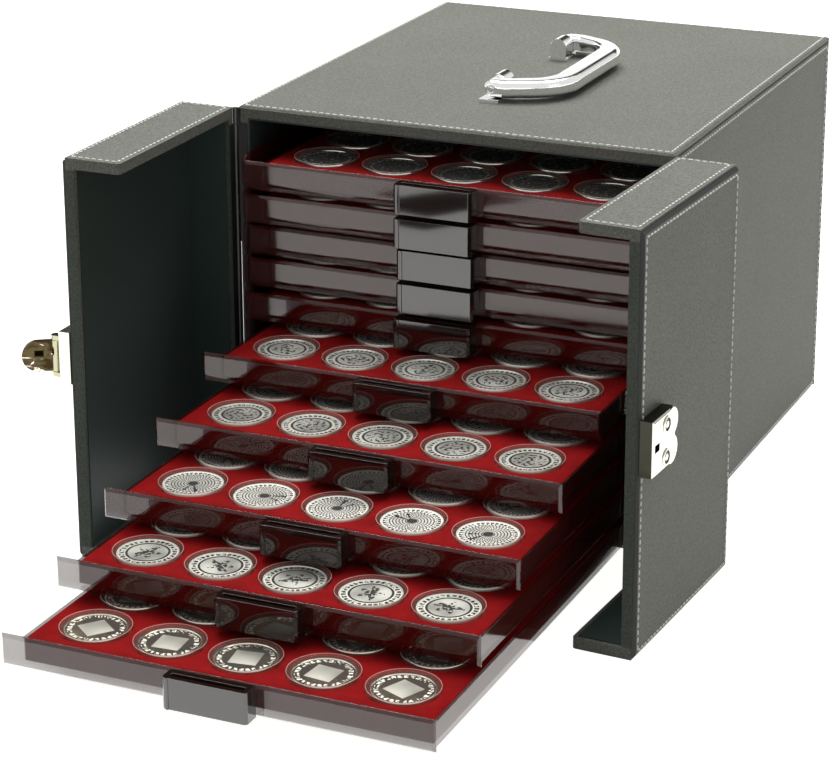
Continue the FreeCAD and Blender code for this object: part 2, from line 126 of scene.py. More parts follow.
def added(name):
    """The primitive that an operator has just added, under its own name."""
    piece = bpy.context.object
    piece.name = name
    piece.data.name = name
    return piece


def settle(piece):
    """Puts the piece's place, turn and size into its mesh."""
    select_only(piece)
    bpy.ops.object.transform_apply(location=True, rotation=True, scale=True)


bpy.ops.object.select_all(action="DESELECT")
bpy.ops.mesh.primitive_plane_add(size=14.0)
floor = added("studio_floor")
floor_paint, floor_shader = new_material("lit_white_table", Base_Color=colour("#c9c9c7"),
                                         Roughness=0.9, Emission_Color=colour("#fffefb"))
# The table glows where it is seen or mirrored, and adds little light of its own to the case.
ray = add_node(floor_paint, "ShaderNodeLightPath", {}, {})
mirrored_glow = add_node(floor_paint, "ShaderNodeMapRange", {},
                         {"Value": ray.outputs["Is Glossy Ray"], "To Min": 0.05, "To Max": 2.0})
glow = add_node(floor_paint, "ShaderNodeMath", {"operation": "MAXIMUM"},
                {0: ray.outputs["Is Camera Ray"], 1: mirrored_glow})
link(floor_paint, glow.outputs[0], floor_shader.inputs["Emission Strength"])
floor.data.materials.append(floor_paint)
# A black card on the table, which shows only as the mirrored dark in the top drawer's grip.
card_place = (-0.257, -0.785, 0.0005)
card_turn = 24
card_width = 0.078
card_length = 0.1
bpy.ops.object.select_all(action="DESELECT")
bpy.ops.mesh.primitive_plane_add(size=1.0, location=card_place, rotation=(0, 0, math.radians(card_turn)))
card = added("black_card")
card.scale = (card_width, card_length, 1)
settle(card)
card.visible_camera = False
card.visible_shadow = False
card_paint, _ = new_material("matt_black_card", Base_Color=colour("#0a0908"), Roughness=0.9)
card.data.materials.append(card_paint)

# Soft boxes: a wide one overhead, a weak one at the front left, and a weaker one at the right.
for name, place, aim, width, height, power in (
        ("light_overhead", (-0.25, 0.65, 2.4), (0, 0, 0.1), 2.4, 1.6, 71.0),
        ("light_front_left", (-1.9, -1.9, 1.3), (0, -0.2, 0.1), 1.2, 1.2, 2.0),
        ("light_right", (2.2, -0.6, 1.1), (0, 0, 0.1), 1.0, 1.4, 1.0)):
    lamp_data = bpy.data.lights.new(name, "AREA")
    lamp_data.shape = "RECTANGLE"
    lamp_data.size = width
    lamp_data.size_y = height
    lamp_data.energy = power
    lamp = bpy.data.objects.new(name, lamp_data)
    lamp.location = place
    lamp.rotation_euler = (Vector(aim) - Vector(place)).to_track_quat("-Z", "Y").to_euler()
    bpy.context.scene.collection.objects.link(lamp)

world = bpy.data.worlds.new("studio_world")
world.use_nodes = True
bpy.context.scene.world = world
world.node_tree.nodes["Background"].inputs["Strength"].default_value = 0.7
# Behind the table a white sweep rises to 15 degrees, and from 30 degrees up the room is white again.
# Between them it is dark straight behind the case, so that flat coins mirror the dark. The sweep is
# seen and mirrored, but lights nothing.
room_place = add_node(world, "ShaderNodeTexCoord", {}, {})
room_axes = add_node(world, "ShaderNodeSeparateXYZ", {}, {"Vector": room_place.outputs["Generated"]})
dark_belt = (0.085, 0.08, 0.062, 1)
room_tone = add_node(world, "ShaderNodeValToRGB", {}, {"Fac": room_axes.outputs["Z"]},
                     ((0.25, (1.7, 1.7, 1.67, 1)), (0.27, dark_belt), (0.48, dark_belt),
                      (0.56, (0.95, 0.97, 0.97, 1))))
behind = add_node(world, "ShaderNodeVectorMath", {"operation": "DOT_PRODUCT"},
                  {0: room_place.outputs["Generated"], 1: (-0.409, 0.913, 0.0)})
in_the_dark = add_node(world, "ShaderNodeMapRange", {},
                       {"Value": behind.outputs["Value"], "From Min": 0.72, "From Max": 0.82})
room_seen = add_node(world, "ShaderNodeMix", {"data_type": "RGBA"},
                     {"Factor": in_the_dark, 6: (1.2, 1.2, 1.18, 1.0),
                      7: room_tone.outputs["Color"]})
room_light = add_node(world, "ShaderNodeValToRGB", {}, {"Fac": room_axes.outputs["Z"]},
                      ((0.4, (0.04, 0.043, 0.04, 1)), (0.6, (0.5, 0.52, 0.51, 1))))
room_ray = add_node(world, "ShaderNodeLightPath", {}, {})
room = add_node(world, "ShaderNodeMix", {"data_type": "RGBA"},
                {"Factor": room_ray.outputs["Is Diffuse Ray"], 6: room_seen.outputs[2],
                 7: room_light.outputs["Color"]})
link(world, room.outputs[2], world.node_tree.nodes["Background"].inputs["Color"])

# Case boards, door shells and cover panels.
# Fibreboard wrapped in grey polyurethane leatherette, with padded panels stitched on outside.
# Its embossed pebble grain is about a millimetre wide, and it has a low, even shine.
leatherette, leather_shader = new_material("embossed_leatherette", Roughness=0.55,
                                           Specular_IOR_Level=0.05)
grain_place = add_node(leatherette, "ShaderNodeTexCoord", {}, {})
pebbles = add_node(leatherette, "ShaderNodeTexVoronoi", {"feature": "SMOOTH_F1"},
                   {"Vector": grain_place.outputs["Object"], "Scale": 1 / 0.0011, "Smoothness": 0.4})
creases = add_node(leatherette, "ShaderNodeTexNoise", {},
                   {"Vector": grain_place.outputs["Object"], "Scale": 1 / 0.0016, "Detail": 3.0})
cloudy = add_node(leatherette, "ShaderNodeTexNoise", {},
                  {"Vector": grain_place.outputs["Object"], "Scale": 1 / 0.05, "Detail": 2.0})
grain_height = add_node(leatherette, "ShaderNodeMath", {"operation": "ADD"},
                        {0: pebbles.outputs["Distance"], 1: creases.outputs["Fac"]})
grain_tone = add_node(leatherette, "ShaderNodeMapRange", {},
                      {"Value": grain_height, "From Min": 0.5, "From Max": 1.3,
                       "To Min": 1.22, "To Max": 0.72})
cloud_tone = add_node(leatherette, "ShaderNodeMapRange", {},
                      {"Value": cloudy.outputs["Fac"], "From Min": 0.3, "From Max": 0.7,
                       "To Min": 0.97, "To Max": 1.03})
tone = add_node(leatherette, "ShaderNodeMath", {"operation": "MULTIPLY"},
                {0: grain_tone, 1: cloud_tone})
leather_colour = add_node(leatherette, "ShaderNodeMix", {"data_type": "RGBA", "blend_type": "MULTIPLY"},
                          {"Factor": 1.0, 6: colour("#7d7e77"), 7: tone})
leather_bump = add_node(leatherette, "ShaderNodeBump", {"invert": True},
                        {"Strength": 0.35, "Distance": 0.0003, "Height": grain_height})
link(leatherette, leather_colour.outputs[2], leather_shader.inputs["Base Color"])
link(leatherette, leather_bump.outputs[0], leather_shader.inputs["Normal"])


def variant(material, name):
    """A copy of a material under its own name, and the copy's shader."""
    new = material.copy()
    new.name = name
    return new, new.node_tree.nodes["Principled BSDF"]


def roughen(material, size, detail, strength, depth):
    """Fine unevenness all over a surface: noise of one size, raised by up to one depth."""
    place = add_node(material, "ShaderNodeTexCoord", {}, {})
    noise = add_node(material, "ShaderNodeTexNoise", {},
                     {"Vector": place.outputs["Object"], "Scale": 1 / size, "Detail": detail})
    bump = add_node(material, "ShaderNodeBump", {},
                    {"Strength": strength, "Distance": depth, "Height": noise.outputs["Fac"]})
    link(material, bump.outputs[0], material.node_tree.nodes["Principled BSDF"].inputs["Normal"])


def dress(node, material, *more):
    """Gives a carried-over piece its material, and more materials for some of its faces."""
    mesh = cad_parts[node].data
    mesh.materials.clear()
    for paint in (material, *more):
        mesh.materials.append(paint)


def soften(node, width, segments):
    """Rounds the edges of a carried-over piece with live modifiers."""
    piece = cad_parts[node]
    piece.modifiers.new("joined", "WELD").merge_threshold = 1e-6
    edges = piece.modifiers.new("edges", "BEVEL")
    edges.width = width
    edges.segments = segments
    edges.limit_method = "ANGLE"
    edges.angle_limit = math.radians(28)
    flat = piece.modifiers.new("flat faces", "WEIGHTED_NORMAL")
    flat.weight = 100
    for face in piece.data.polygons:
        face.use_smooth = True


for node in ("base_board", "top_board", "left_side_board", "right_side_board", "back_board",
             "top_panel", "left_side_panel", "right_side_panel", "back_panel"):
    dress(node, leatherette)
# The door shells' faces that face the front, on the doors' free edges, are painted darker and greener as
# painted shade, and the cut edges of their panels are black.
door_middle_z = 0.11575
between_flanges = 0.1087
front_shaded_leatherette, front_shaded_shader = variant(leatherette, "painted_shade_leatherette_free_edges")
edge_place = add_node(front_shaded_leatherette, "ShaderNodeTexCoord", {}, {})
edge_height = add_node(front_shaded_leatherette, "ShaderNodeSeparateXYZ", {}, {"Vector": edge_place.outputs["Object"]})
edge_facing = add_node(front_shaded_leatherette, "ShaderNodeSeparateXYZ", {}, {"Vector": edge_place.outputs["Normal"]})
off_middle = add_node(front_shaded_leatherette, "ShaderNodeMath", {"operation": "COMPARE"},
                      {0: edge_height.outputs["Z"], 1: door_middle_z, 2: between_flanges})
to_front = add_node(front_shaded_leatherette, "ShaderNodeMath", {"operation": "LESS_THAN"},
                    {0: edge_facing.outputs["Y"], 1: -0.9})
painted_shade_mask = add_node(front_shaded_leatherette, "ShaderNodeMath", {"operation": "MULTIPLY"},
                   {0: off_middle, 1: to_front})
old_colour = front_shaded_shader.inputs["Base Color"].links[0].from_socket
# Painted shade: door shell faces that face the front, between the flanges, are multiplied by a grey green.
painted_shade_colour = add_node(front_shaded_leatherette, "ShaderNodeMix", {"data_type": "RGBA", "blend_type": "MULTIPLY"},
                       {"Factor": painted_shade_mask, 6: old_colour, 7: colour("#c0c9c5")})
link(front_shaded_leatherette, painted_shade_colour.outputs[2], front_shaded_shader.inputs["Base Color"])
cut_edge, _ = new_material("black_cut_edge", Base_Color=colour("#161917"), Roughness=0.8)
roughen(cut_edge, 0.001, 2.0, 0.3, 0.0002)
for side in ("left", "right"):
    dress(side + "_door_shell", front_shaded_leatherette)
    dress(side + "_door_panel", leatherette, cut_edge)
    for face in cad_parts[side + "_door_panel"].data.polygons:
        face.material_index = 1 if abs(face.normal.x) < 0.9 else 0

# Stitching.
# White polyester thread in one lock-stitch row inside the edges of each cover panel.
# A stitch is 2.9 mm of thread that bulges from the leatherette, and the next starts 4.2 mm on.
thread_white, _ = new_material("twisted_polyester_thread", Base_Color=colour("#f0efe9"), Roughness=0.6)
roughen(thread_white, 0.0004, 1.0, 0.3, 0.0001)
stitch_length = 0.0029
stitch_pitch = 0.0042
stitch_radius = 0.00058
stitch_inset = 0.003
stitch_lift = stitch_radius * 0.1


def apply_modifier(piece, kind, **settings):
    """Adds one modifier with its settings and applies it."""
    select_only(piece)
    modifier = piece.modifiers.new(kind.lower(), kind)
    for name, value in settings.items():
        setattr(modifier, name, value)
    bpy.ops.object.modifier_apply(modifier=modifier.name)


def stitch_row(start, end):
    """A row of stitches from one corner of a seam to the next."""
    start = Vector(start)
    run = Vector(end) - start
    count = max(2, round(run.length / stitch_pitch))
    pitch = run.length / count
    bpy.ops.mesh.primitive_cylinder_add(vertices=6, radius=stitch_radius, depth=stitch_length * 0.6,
                                        end_fill_type="NGON")
    row = added("stitch_row")
    bpy.ops.object.mode_set(mode="EDIT")
    for side in (-1, 1):
        mesh = bmesh.from_edit_mesh(row.data)
        for face in mesh.faces:
            face.select_set(face.normal.z * side > 0.9)
        bmesh.update_edit_mesh(row.data)
        bpy.ops.mesh.extrude_region_move(
            TRANSFORM_OT_translate={"value": (0, 0, side * stitch_length * 0.2)})
        bpy.ops.transform.resize(value=(0.45, 0.45, 1))
    bpy.ops.object.mode_set(mode="OBJECT")
    row.location = start + run * (0.5 / count)
    row.rotation_euler = run.to_track_quat("Z", "Y").to_euler()
    settle(row)
    apply_modifier(row, "ARRAY", count=count, use_relative_offset=False, use_constant_offset=True,
                   constant_offset_displace=run / count)
    return row


def finish_piece(piece, material, body):
    """Gives a finished piece its material and slot, and lets it ride on its body."""
    piece.data.materials.clear()
    piece.data.materials.append(material)
    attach(piece, body)


def seam(name, body, corners):
    """Rows of stitches round a closed seam."""
    rows = [stitch_row(corners[i], corners[(i + 1) % len(corners)]) for i in range(len(corners))]
    select_only(*rows)
    bpy.ops.object.join()
    bpy.ops.object.shade_smooth()
    finish_piece(added(name), thread_white, body)


def panel_seam(node, body, face_axis, side):
    """The seam of a cover panel, inside the edges of its outer face."""
    low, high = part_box(node)
    height = (high if side > 0 else low)[face_axis] + side * stitch_lift
    first, second = [axis for axis in range(3) if axis != face_axis]
    corners = []
    for at_first, at_second in ((0, 0), (1, 0), (1, 1), (0, 1)):
        corner = Vector((0, 0, 0))
        corner[face_axis] = height
        corner[first] = high[first] - stitch_inset if at_first else low[first] + stitch_inset
        corner[second] = high[second] - stitch_inset if at_second else low[second] + stitch_inset
        corners.append(corner)
    seam(node + "_stitching", body, corners)


panel_seam("top_panel", "case", 2, 1)
panel_seam("left_side_panel", "case", 0, -1)
panel_seam("right_side_panel", "case", 0, 1)
panel_seam("back_panel", "case", 1, 1)


# What is on the doors is laid out on the closed right door, and turned and mirrored with them: one seam
# round the panel on the face, and one round the flange on top.
doors = (("right_door", 1, 87.0), ("left_door", -1, 90.0))
door_pivot = Vector((0.1318, -0.1486, 0))
case_front_y = -0.148
door_depth = 0.0366
door_face_y = case_front_y - door_depth
door_low = Vector((0.0006, 0, 0.002))
door_high = Vector((0.1305, 0, 0.2295))
flange_seam_front_y = -0.1802
flange_seam_back_y = -0.1522


def opened(mirror, degrees):
    """What turns the closed right door to an open door's place, mirrored for the left one."""
    return (Matrix.Scale(mirror, 4, (1, 0, 0)) @ Matrix.Translation(door_pivot)
            @ Matrix.Rotation(math.radians(degrees), 4, "Z") @ Matrix.Translation(-door_pivot))


for body, mirror, degrees in doors:
    near_x = door_low.x + stitch_inset
    far_x = door_high.x - stitch_inset
    low_z = door_low.z + stitch_inset
    high_z = door_high.z - stitch_inset
    face_y = door_face_y - stitch_lift
    flange_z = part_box(body + "_shell")[1].z + stitch_lift
    on_face = ((near_x, face_y, low_z), (far_x, face_y, low_z), (far_x, face_y, high_z),
               (near_x, face_y, high_z))
    on_flange = ((near_x, flange_seam_front_y, flange_z), (far_x, flange_seam_front_y, flange_z),
                 (far_x, flange_seam_back_y, flange_z), (near_x, flange_seam_back_y, flange_z))
    for place, points in (("panel", on_face), ("flange", on_flange)):
        seam("%s_%s_stitching" % (body, place), body,
             [opened(mirror, degrees) @ Vector(point) for point in points])

# Satin lining.
# Woven acetate satin in a green black, glued smooth on the inside of the case and the doors.
satin, satin_shader = new_material("acetate_satin", Base_Color=colour("#34423e"), Roughness=0.42,
                                   Specular_IOR_Level=0.15, Sheen_Weight=0.25, Sheen_Roughness=0.4)
satin_place = add_node(satin, "ShaderNodeTexCoord", {}, {})
satin_stretch = add_node(satin, "ShaderNodeMapping", {},
                         {"Vector": satin_place.outputs["Object"], "Scale": (1, 1, 0.12)})
satin_weave = add_node(satin, "ShaderNodeTexNoise", {},
                       {"Vector": satin_stretch, "Scale": 1 / 0.0012, "Detail": 2.0})
satin_bump = add_node(satin, "ShaderNodeBump", {},
                      {"Strength": 0.12, "Distance": 0.0002, "Height": satin_weave.outputs["Fac"]})
link(satin, satin_bump.outputs[0], satin_shader.inputs["Normal"])
for node in ("case_lining", "left_door_lining", "right_door_lining"):
    dress(node, satin)

# Platform and hinges.
# The stack stands on a black greyboard platform, and each door hangs on a long hinge of
# black enamelled steel.
black_board, _ = new_material("black_greyboard", Base_Color=colour("#1c1e1d"), Roughness=0.8)
roughen(black_board, 0.002, 4.0, 0.2, 0.0002)
dress("stack_platform", black_board)
enamel, _ = new_material("black_stove_enamel", Base_Color=colour("#141615"), Roughness=0.38)
roughen(enamel, 0.003, 2.0, 0.1, 0.0002)
for node in ("hinge_case_leaves", "left_hinge_door_leaf", "right_hinge_door_leaf"):
    dress(node, enamel)
# Above and below each hinge a short cord of the same black closes the gap beside its pin.
cord_radius = 0.0017
cord_length = 0.0089
flap_shift = 0.0015
flap_y = -0.14845
flap_width = 0.0026
flap_thickness = 0.0011
for side, mirror in (("left", -1), ("right", 1)):
    for end, low_z in (("lower", 0.0010), ("upper", 0.2216)):
        middle_z = low_z + cord_length / 2
        bpy.ops.object.select_all(action="DESELECT")
        bpy.ops.mesh.primitive_cylinder_add(vertices=24, radius=cord_radius, depth=cord_length,
                                            location=(mirror * door_pivot.x, door_pivot.y, middle_z))
        cord = added("%s_%s_hinge_cord" % (side, end))
        flap_x = mirror * (door_pivot.x - flap_shift)
        bpy.ops.mesh.primitive_cube_add(size=1.0, location=(flap_x, flap_y, middle_z))
        flap = added("flap")
        flap.scale = (flap_width, flap_thickness, cord_length)
        settle(flap)
        settle(cord)
        select_only(cord, flap)
        bpy.ops.object.join()
        bpy.ops.object.shade_smooth_by_angle(angle=math.radians(40))
        finish_piece(cord, enamel, "case")

# Coin boxes: frames and drawers.
# Injection-moulded polystyrene, smoke tinted and polished, so that the velvet shows through it.
# Moulded edges are rounded by 0.2 mm and catch a thin highlight.
smoke, _ = new_material("smoke_polystyrene", Base_Color=colour("#3a0b08"), Roughness=0.05,
                        IOR=1.59, Specular_IOR_Level=0.65, Alpha=0.54)
roughen(smoke, 0.06, 1.0, 0.015, 0.004)
# The solid grips are ten millimetres thick and let almost nothing through.
thick_smoke, thick_shader = variant(smoke, "thick_smoke_polystyrene")
thick_shader.inputs["Base Color"].default_value = colour("#1c0f0c")
thick_shader.inputs["Alpha"].default_value = 0.95
# The lower third of each front plate leans back a little, and mirrors what is below it.
first_plate_z = 0.0137
drawer_pitch = 0.0193
leaning_smoke, leaning_shader = variant(smoke, "leaning_smoke_polystyrene")
lean_place = add_node(leaning_smoke, "ShaderNodeTexCoord", {}, {})
lean_height = add_node(leaning_smoke, "ShaderNodeSeparateXYZ", {},
                       {"Vector": lean_place.outputs["Object"]})
plate_low = add_node(leaning_smoke, "ShaderNodeMath", {"operation": "SUBTRACT"},
                     {0: lean_height.outputs["Z"], 1: first_plate_z})
plate_height = add_node(leaning_smoke, "ShaderNodeMath", {"operation": "FLOORED_MODULO"},
                        {0: plate_low, 1: drawer_pitch})
lean = add_node(leaning_smoke, "ShaderNodeMapRange", {"interpolation_type": "SMOOTHSTEP"},
                {"Value": plate_height, "From Min": -0.0007, "From Max": 0.0063})
lean_bump = add_node(leaning_smoke, "ShaderNodeBump", {},
                     {"Strength": 1.0, "Distance": 0.0018, "Height": lean,
                      "Normal": leaning_shader.inputs["Normal"].links[0].from_socket})
link(leaning_smoke, lean_bump.outputs[0], leaning_shader.inputs["Normal"])
grip_reach = 0.0103
plate_face_reach = 0.0108
drawers = ["%02d" % number for number in range(1, 11)]
for drawer in drawers:
    dress("unit_frame_" + drawer, smoke)
    soften("unit_frame_" + drawer, 0.0002, 2)
    tray = "tray_" + drawer
    dress(tray, smoke, thick_smoke, leaning_smoke)
    soften(tray, 0.0002, 2)
    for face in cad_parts[tray].data.polygons:
        reach = face.center.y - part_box(tray)[0].y
        if reach < grip_reach:
            face.material_index = 1
        elif reach < plate_face_reach and face.normal.y < -0.9:
            face.material_index = 2

# Velvet inlays.
# Flocked foam with rows of round wells, bright red. The pile scatters light at the edges of the
# wells and shows faint strokes.
velvet, velvet_shader = new_material("flocked_velvet", Roughness=0.9, Sheen_Weight=0.5,
                                     Sheen_Roughness=0.35, Sheen_Tint=colour("#ff5a50"),
                                     Specular_IOR_Level=0.1)
velvet_place = add_node(velvet, "ShaderNodeTexCoord", {}, {})
pile = add_node(velvet, "ShaderNodeTexNoise", {},
                {"Vector": velvet_place.outputs["Object"], "Scale": 1 / 0.0008, "Detail": 2.0})
strokes = add_node(velvet, "ShaderNodeTexNoise", {},
                   {"Vector": velvet_place.outputs["Object"], "Scale": 1 / 0.012, "Detail": 2.0})
pile_mix = add_node(velvet, "ShaderNodeMath", {"operation": "ADD"},
                    {0: pile.outputs["Fac"], 1: strokes.outputs["Fac"]})
pile_mean = add_node(velvet, "ShaderNodeMath", {"operation": "MULTIPLY"}, {0: pile_mix, 1: 0.5})
pile_colour = add_node(velvet, "ShaderNodeValToRGB", {}, {"Fac": pile_mean},
                       ((0.35, colour("#78080b")), (0.75, colour("#a61014"))))
pile_bump = add_node(velvet, "ShaderNodeBump", {},
                     {"Strength": 0.4, "Distance": 0.0003, "Height": pile.outputs["Fac"]})
link(velvet, pile_colour.outputs["Color"], velvet_shader.inputs["Base Color"])
link(velvet, pile_bump.outputs[0], velvet_shader.inputs["Normal"])
well_radius = 0.0188
well_depth = 0.0039
well_rows = 7
well_columns = 5
column_margin = 0.0052
row_front_margin = 0.0042
row_back_margin = 0.0006
inlay_low, inlay_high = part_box("inlay_01")
column_pitch = (inlay_high.x - inlay_low.x - 2 * column_margin) / well_columns
row_pitch = (inlay_high.y - inlay_low.y - row_front_margin - row_back_margin) / well_rows
first_well = Vector((inlay_low.x + column_margin + column_pitch / 2,
                     inlay_low.y + row_front_margin + row_pitch / 2, inlay_high.z))
bpy.ops.object.select_all(action="DESELECT")
bpy.ops.mesh.primitive_cube_add(size=1.0, location=(inlay_low + inlay_high) / 2)
inlay_master = added("velvet_inlay_01")
inlay_master.scale = inlay_high - inlay_low
settle(inlay_master)
bpy.ops.object.select_all(action="DESELECT")
bpy.ops.mesh.primitive_cylinder_add(vertices=40, radius=well_radius, depth=2 * well_depth,
                                    location=first_well)
well_cutter = added("well_cutter")
settle(well_cutter)


def repeat(piece, count, step):
    """Repeats a piece by a constant step, as one piece."""
    apply_modifier(piece, "ARRAY", count=count, use_relative_offset=False, use_constant_offset=True,
                   constant_offset_displace=step)


repeat(well_cutter, well_columns, (column_pitch, 0, 0))
repeat(well_cutter, well_rows, (0, row_pitch, 0))
apply_modifier(inlay_master, "BOOLEAN", operation="DIFFERENCE", object=well_cutter, solver="EXACT")
bpy.data.objects.remove(well_cutter)
apply_modifier(inlay_master, "BEVEL", width=0.0005, segments=2, limit_method="ANGLE",
               angle_limit=math.radians(40))
select_only(inlay_master)
bpy.ops.object.shade_smooth_by_angle(angle=math.radians(35))


def copy_for(master, name, offset):
    """A copy of a finished piece with its own mesh, moved by an offset."""
    piece = master.copy()
    piece.data = master.data.copy()
    piece.name = name
    piece.data.name = name
    bpy.context.scene.collection.objects.link(piece)
    piece.data.transform(Matrix.Translation(offset))
    return piece


drawer_offset = {}
for drawer in drawers:
    drawer_offset[drawer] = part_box("inlay_" + drawer)[0] - inlay_low
for drawer in drawers[1:]:
    inlay = copy_for(inlay_master, "velvet_inlay_" + drawer, drawer_offset[drawer])
    finish_piece(inlay, velvet, "drawer_" + drawer)
    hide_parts("inlay_" + drawer)
finish_piece(inlay_master, velvet, "drawer_01")
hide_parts("inlay_01")

# Coin capsules.
# Two clear acrylic shells snapped together round the coin, 37 mm across. The rim is thick and stepped, and
# over it, in the front rows, lies a thin near-white ring as a painted highlight; the window over the coin
# is flat and clear.
acrylic, acrylic_shader = new_material("clear_acrylic", Base_Color=colour("#b98f80"), Roughness=0.04,
                                       IOR=1.49)
acrylic_edge = add_node(acrylic, "ShaderNodeLayerWeight", {}, {"Blend": 0.3})
acrylic_alpha = add_node(acrylic, "ShaderNodeMapRange", {},
                         {"Value": acrylic_edge.outputs["Facing"], "From Min": 0.55, "From Max": 0.95,
                          "To Min": 0.1, "To Max": 0.55})
link(acrylic, acrylic_alpha.outputs[0], acrylic_shader.inputs["Alpha"])
window, _ = new_material("clear_acrylic_window", Base_Color=colour("#d9d6d2"), Roughness=0.03,
                         IOR=1.49, Alpha=0.07)
rim_painted_highlight, _ = new_material("acrylic_rim_painted_highlight", Base_Color=colour("#f6dfd6"), Roughness=0.12,
                       IOR=1.49, Alpha=0.55)


def lathe(name, centre, profile, steps):
    """A round piece about the vertical line through a centre, from a profile of radius and height."""
    bpy.ops.object.select_all(action="DESELECT")
    bpy.ops.mesh.primitive_plane_add(size=0.001, location=centre)
    piece = added(name)
    bpy.ops.object.mode_set(mode="EDIT")
    bpy.ops.mesh.select_all(action="SELECT")
    bpy.ops.mesh.merge(type="CENTER")
    bpy.ops.transform.translate(value=(profile[0][0], 0, profile[0][1]))
    for before, after in zip(profile, profile[1:]):
        bpy.ops.mesh.extrude_region_move(
            TRANSFORM_OT_translate={"value": (after[0] - before[0], 0, after[1] - before[1])})
    bpy.ops.mesh.select_all(action="SELECT")
    bpy.ops.mesh.spin(steps=steps, angle=2 * math.pi, center=centre, axis=(0, 0, 1))
    bpy.ops.mesh.select_all(action="SELECT")
    bpy.ops.mesh.remove_doubles(threshold=1e-6)
    bpy.ops.mesh.normals_make_consistent(inside=False)
    bpy.ops.object.mode_set(mode="OBJECT")
    settle(piece)
    bpy.ops.object.shade_smooth_by_angle(angle=math.radians(40))
    return piece


def in_wells(master, name, offset, first_row, rows):
    """Copies of a piece over all columns and some rows of wells, as one piece."""
    piece = copy_for(master, name, offset + Vector((0, first_row * row_pitch, 0)))
    repeat(piece, well_columns, (column_pitch, 0, 0))
    repeat(piece, rows, (0, row_pitch, 0))
    return piece


# The two front rows have rims with every step, and the rows behind them have plainer ones.
front_rows = 2
window_radius = 0.0165
painted_highlight_radius = 0.0184
fine_profile = [(0.0, -0.0036), (0.0182, -0.0036), (0.0185, -0.0030), (0.0185, 0.0008), (0.0183, 0.0014),
                (0.0179, 0.0016), (0.0172, 0.0016), (0.0168, 0.0015), (0.0165, 0.0010), (0.0, 0.0010)]
plain_profile = [(0.0185, -0.0030), (0.0185, 0.0012), (0.0179, 0.0016), (0.0167, 0.0015), (0.0, 0.0010)]


def capsule_master(name, profile, steps):
    """A capsule whose window is clearer than its rim."""
    master = lathe(name, first_well, profile, steps)
    master.data.materials.append(acrylic)
    master.data.materials.append(window)
    for face in master.data.polygons:
        reach = max((master.data.vertices[i].co - first_well).xy.length for i in face.vertices)
        if face.center.z > first_well.z and reach < window_radius + 0.0004:
            face.material_index = 1
    return master


fine_capsule = capsule_master("capsule_fine", fine_profile, 40)
plain_capsule = capsule_master("capsule_plain", plain_profile, 20)
# Painted highlight: a thin near-white ring just inside the edge of each front-row capsule.
bpy.ops.object.select_all(action="DESELECT")
bpy.ops.mesh.primitive_torus_add(major_radius=painted_highlight_radius, minor_radius=0.00015, major_segments=48,
                                 minor_segments=6, location=first_well + Vector((0, 0, 0.0016)))
painted_highlight_master = added("capsule_painted_highlight")
settle(painted_highlight_master)
bpy.ops.object.shade_smooth()
for drawer in drawers:
    offset = drawer_offset[drawer]
    body = "drawer_" + drawer
    for master, kind, first_row, rows in ((fine_capsule, "front", 0, front_rows),
                                          (plain_capsule, "rear", front_rows, well_rows - front_rows)):
        capsules = in_wells(master, "capsules_%s_%s" % (kind, drawer), offset, first_row, rows)
        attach(capsules, body)
    painted_highlight_rings = in_wells(painted_highlight_master, "capsule_painted_highlights_" + drawer, offset, 0, front_rows)
    finish_piece(painted_highlight_rings, rim_painted_highlight, body)
for master in (fine_capsule, plain_capsule, painted_highlight_master):
    bpy.data.objects.remove(master)

# Coins.
# Struck silver: dark mirror-bright parts, frosted light ones, a bright raised rim, a ring of small
# marks, and a design in the middle. Each drawer holds its own design.
coin_radius = 0.0163
coin_profile = [(0.0, -0.0024), (0.0158, -0.0024), (0.0163, -0.0020), (0.0163, 0.0000), (0.0161, 0.0003),
                (0.0157, 0.0003), (0.0155, -0.0001), (0.0, -0.0001)]
plain_coin_profile = [(0.0163, -0.0020), (0.0163, 0.0001), (0.0156, 0.0003), (0.0154, -0.0001),
                      (0.0, -0.0001)]


def coin_blank(name, profile, steps):
    """A coin with a flat map of its face, from -1 to 1 across."""
    master = lathe(name, first_well, profile, steps)
    while master.data.uv_layers:
        master.data.uv_layers.remove(master.data.uv_layers[0])
    face_map = master.data.uv_layers.new(name="face")
    for corner in master.data.loops:
        place = master.data.vertices[corner.vertex_index].co - first_well
        face_map.data[corner.index].uv = (place.x / coin_radius, place.y / coin_radius)
    return master


def beyond(material, value, limit):
    """One where a value is past a limit, and nought elsewhere."""
    return add_node(material, "ShaderNodeMath", {"operation": "GREATER_THAN"}, {0: value, 1: limit})


def short_of(material, value, limit):
    """One where a value is under a limit, and nought elsewhere."""
    return add_node(material, "ShaderNodeMath", {"operation": "LESS_THAN"}, {0: value, 1: limit})


def within(material, first, second):
    """Where both parts of a design lie."""
    return add_node(material, "ShaderNodeMath", {"operation": "MULTIPLY"}, {0: first, 1: second})


def union(material, *parts):
    """Where any of the parts of a design lies."""
    whole = parts[0]
    for part in parts[1:]:
        whole = add_node(material, "ShaderNodeMath", {"operation": "MAXIMUM"}, {0: whole, 1: part})
    return whole


def opposite(material, part):
    """Where a part of a design doesn't lie."""
    return add_node(material, "ShaderNodeMath", {"operation": "SUBTRACT"}, {0: 1.0, 1: part})


def between(material, value, low, high):
    """One where a value lies between two limits, and nought elsewhere."""
    return within(material, beyond(material, value, low), short_of(material, value, high))


